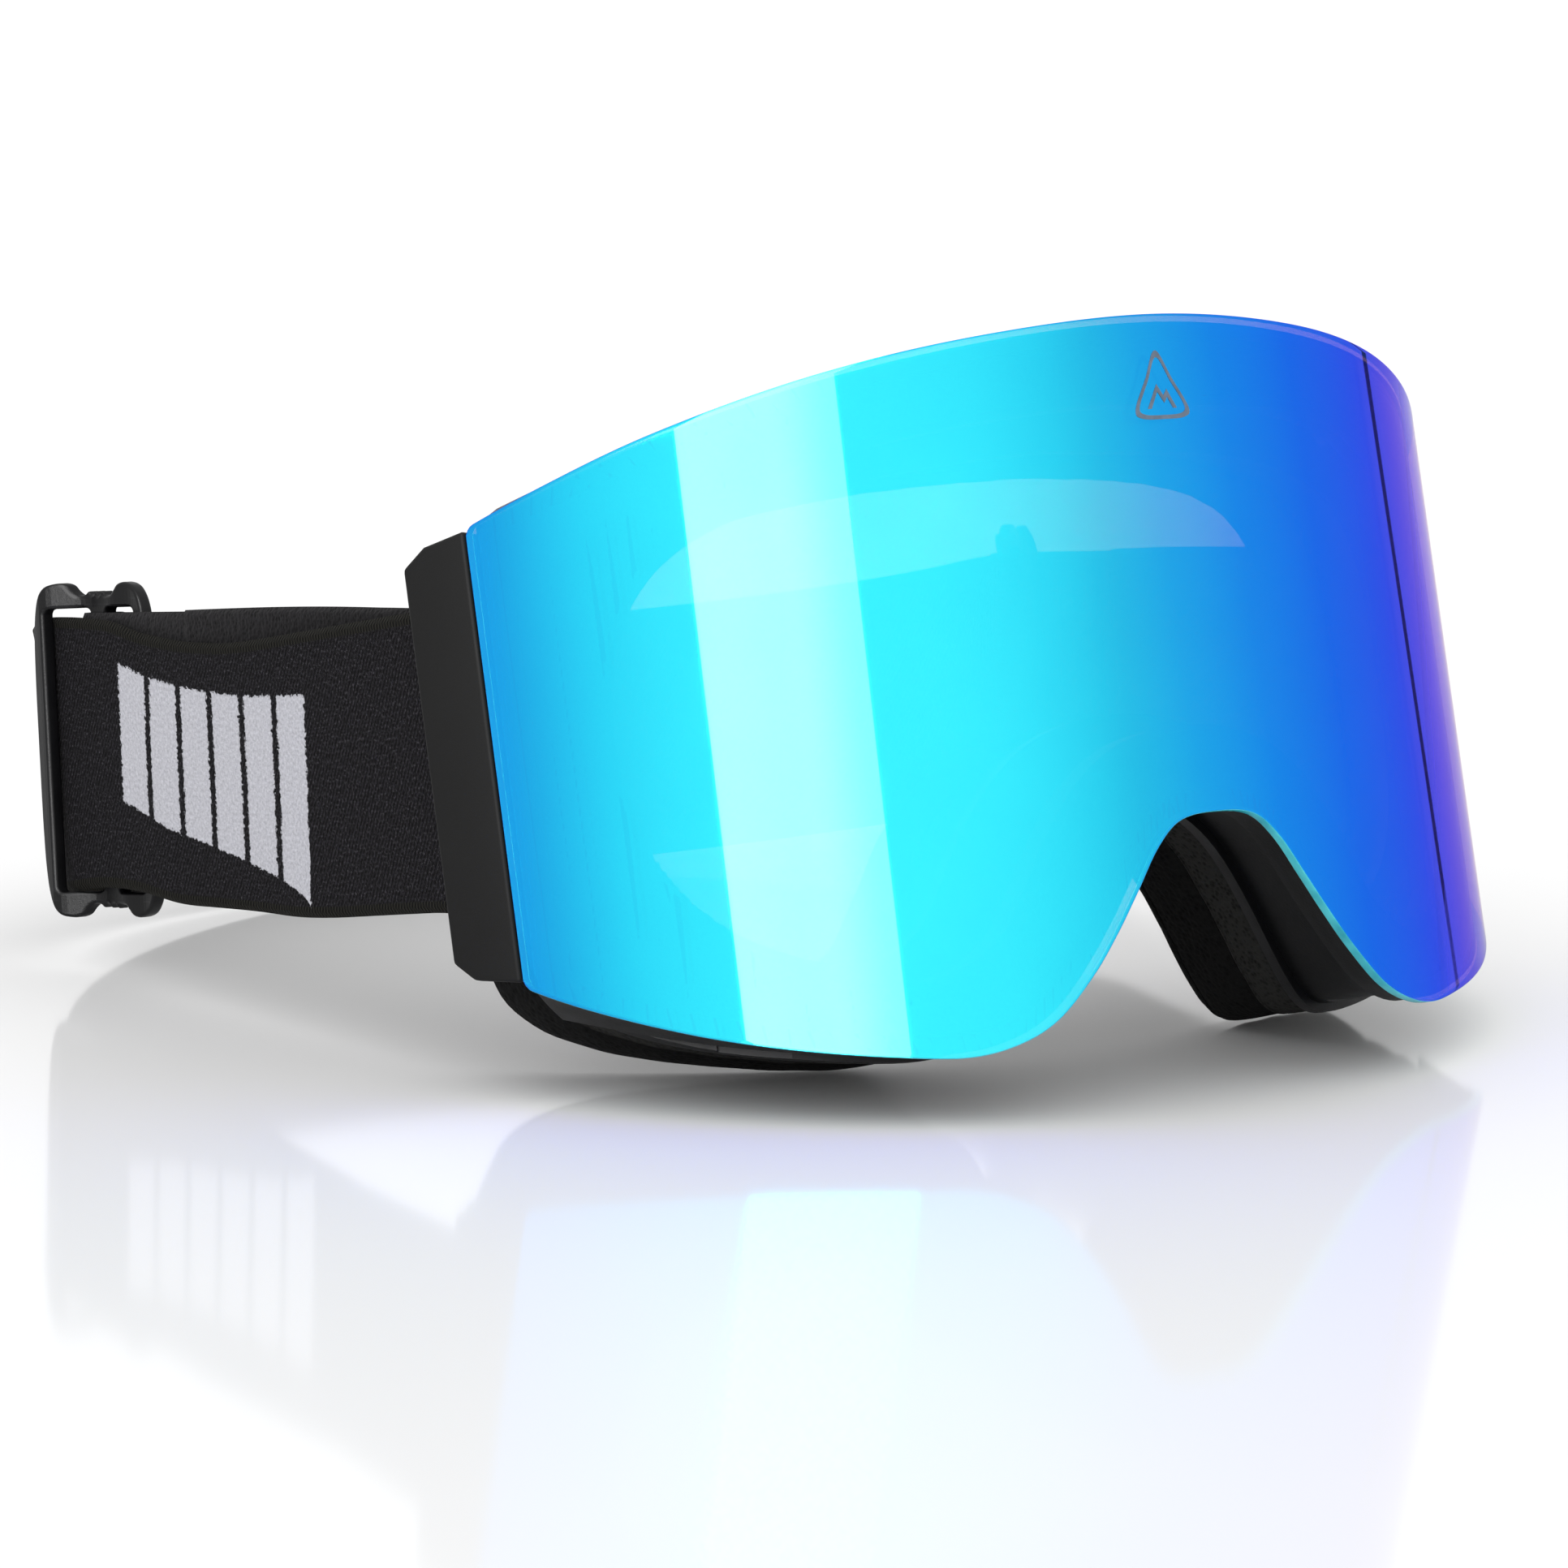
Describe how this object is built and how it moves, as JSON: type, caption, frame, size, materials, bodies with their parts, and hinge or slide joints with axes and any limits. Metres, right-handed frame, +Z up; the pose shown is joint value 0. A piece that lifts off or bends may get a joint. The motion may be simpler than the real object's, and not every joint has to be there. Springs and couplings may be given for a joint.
{
  "type": "ski goggles",
  "caption": "Cylindrical-lens ski goggles with magnetic removable mirror lens, vented frame, layered face foam and adjustable elastic strap with sliders",
  "frame": {"origin": "bottom centre of the bounding box, on the surface the goggles stand on", "axes": "+Z up, -Y the way the lens faces, +X towards the wearer's left"},
  "size_m": [0.173, 0.2183, 0.1001],
  "materials": {
    "lens_mirror": "gloss",
    "lens_clear": "gloss",
    "gasket_foam": "matte",
    "carrier_black": "satin",
    "magnet": "satin",
    "frame_black": "satin",
    "vent_foam": "matte",
    "foam_grey": "matte",
    "foam_black": "matte",
    "fleece": "matte",
    "cover_black": "matte",
    "bracket_black": "satin",
    "steel": "satin",
    "strap_elastic": "matte",
    "slider_black": "satin"
  },
  "bodies": {
    "goggles": {"face_frame": "frame_black", "frame_magnets": "magnet", "top_vent_foam": "vent_foam", "bottom_vent_foam": "vent_foam", "face_foam_base": "foam_grey", "face_foam_soft": "foam_black", "face_fleece": "fleece", "side_cover_right": "cover_black", "side_cover_left": "cover_black", "strap_bracket_right": "bracket_black", "strap_bracket_left": "bracket_black", "strap_bar_right": "steel", "strap_bar_left": "steel", "bracket_screws": "steel", "strap": "strap_elastic", "strap_return_right": "strap_elastic", "strap_return_left": "strap_elastic"},
    "lens": {"outer_lens": "lens_mirror", "lens_spacer": "gasket_foam", "inner_lens": "lens_clear", "lens_carrier": "carrier_black", "carrier_magnets": "magnet"},
    "slider_right_body": {"slider_right": "slider_black", "strap_end_right": "strap_elastic"},
    "slider_left_body": {"slider_left": "slider_black", "strap_end_left": "strap_elastic"}
  },
  "joints": [
    {"name": "lens_release", "type": "slide", "parent": "goggles", "child": "lens", "axis": [0, -0.9692, 0.2462], "range_m": [0, 0.05]},
    {"name": "slider_right_slide", "type": "slide", "parent": "goggles", "child": "slider_right_body", "axis": [-0.0535, 0.9938, -0.0972], "range_m": [-0.04, 0], "deforming": ["strap_return_right"]},
    {"name": "slider_left_slide", "type": "slide", "parent": "goggles", "child": "slider_left_body", "axis": [0.0535, 0.9938, -0.0972], "range_m": [-0.04, 0], "deforming": ["strap_return_left"]}
  ]
}
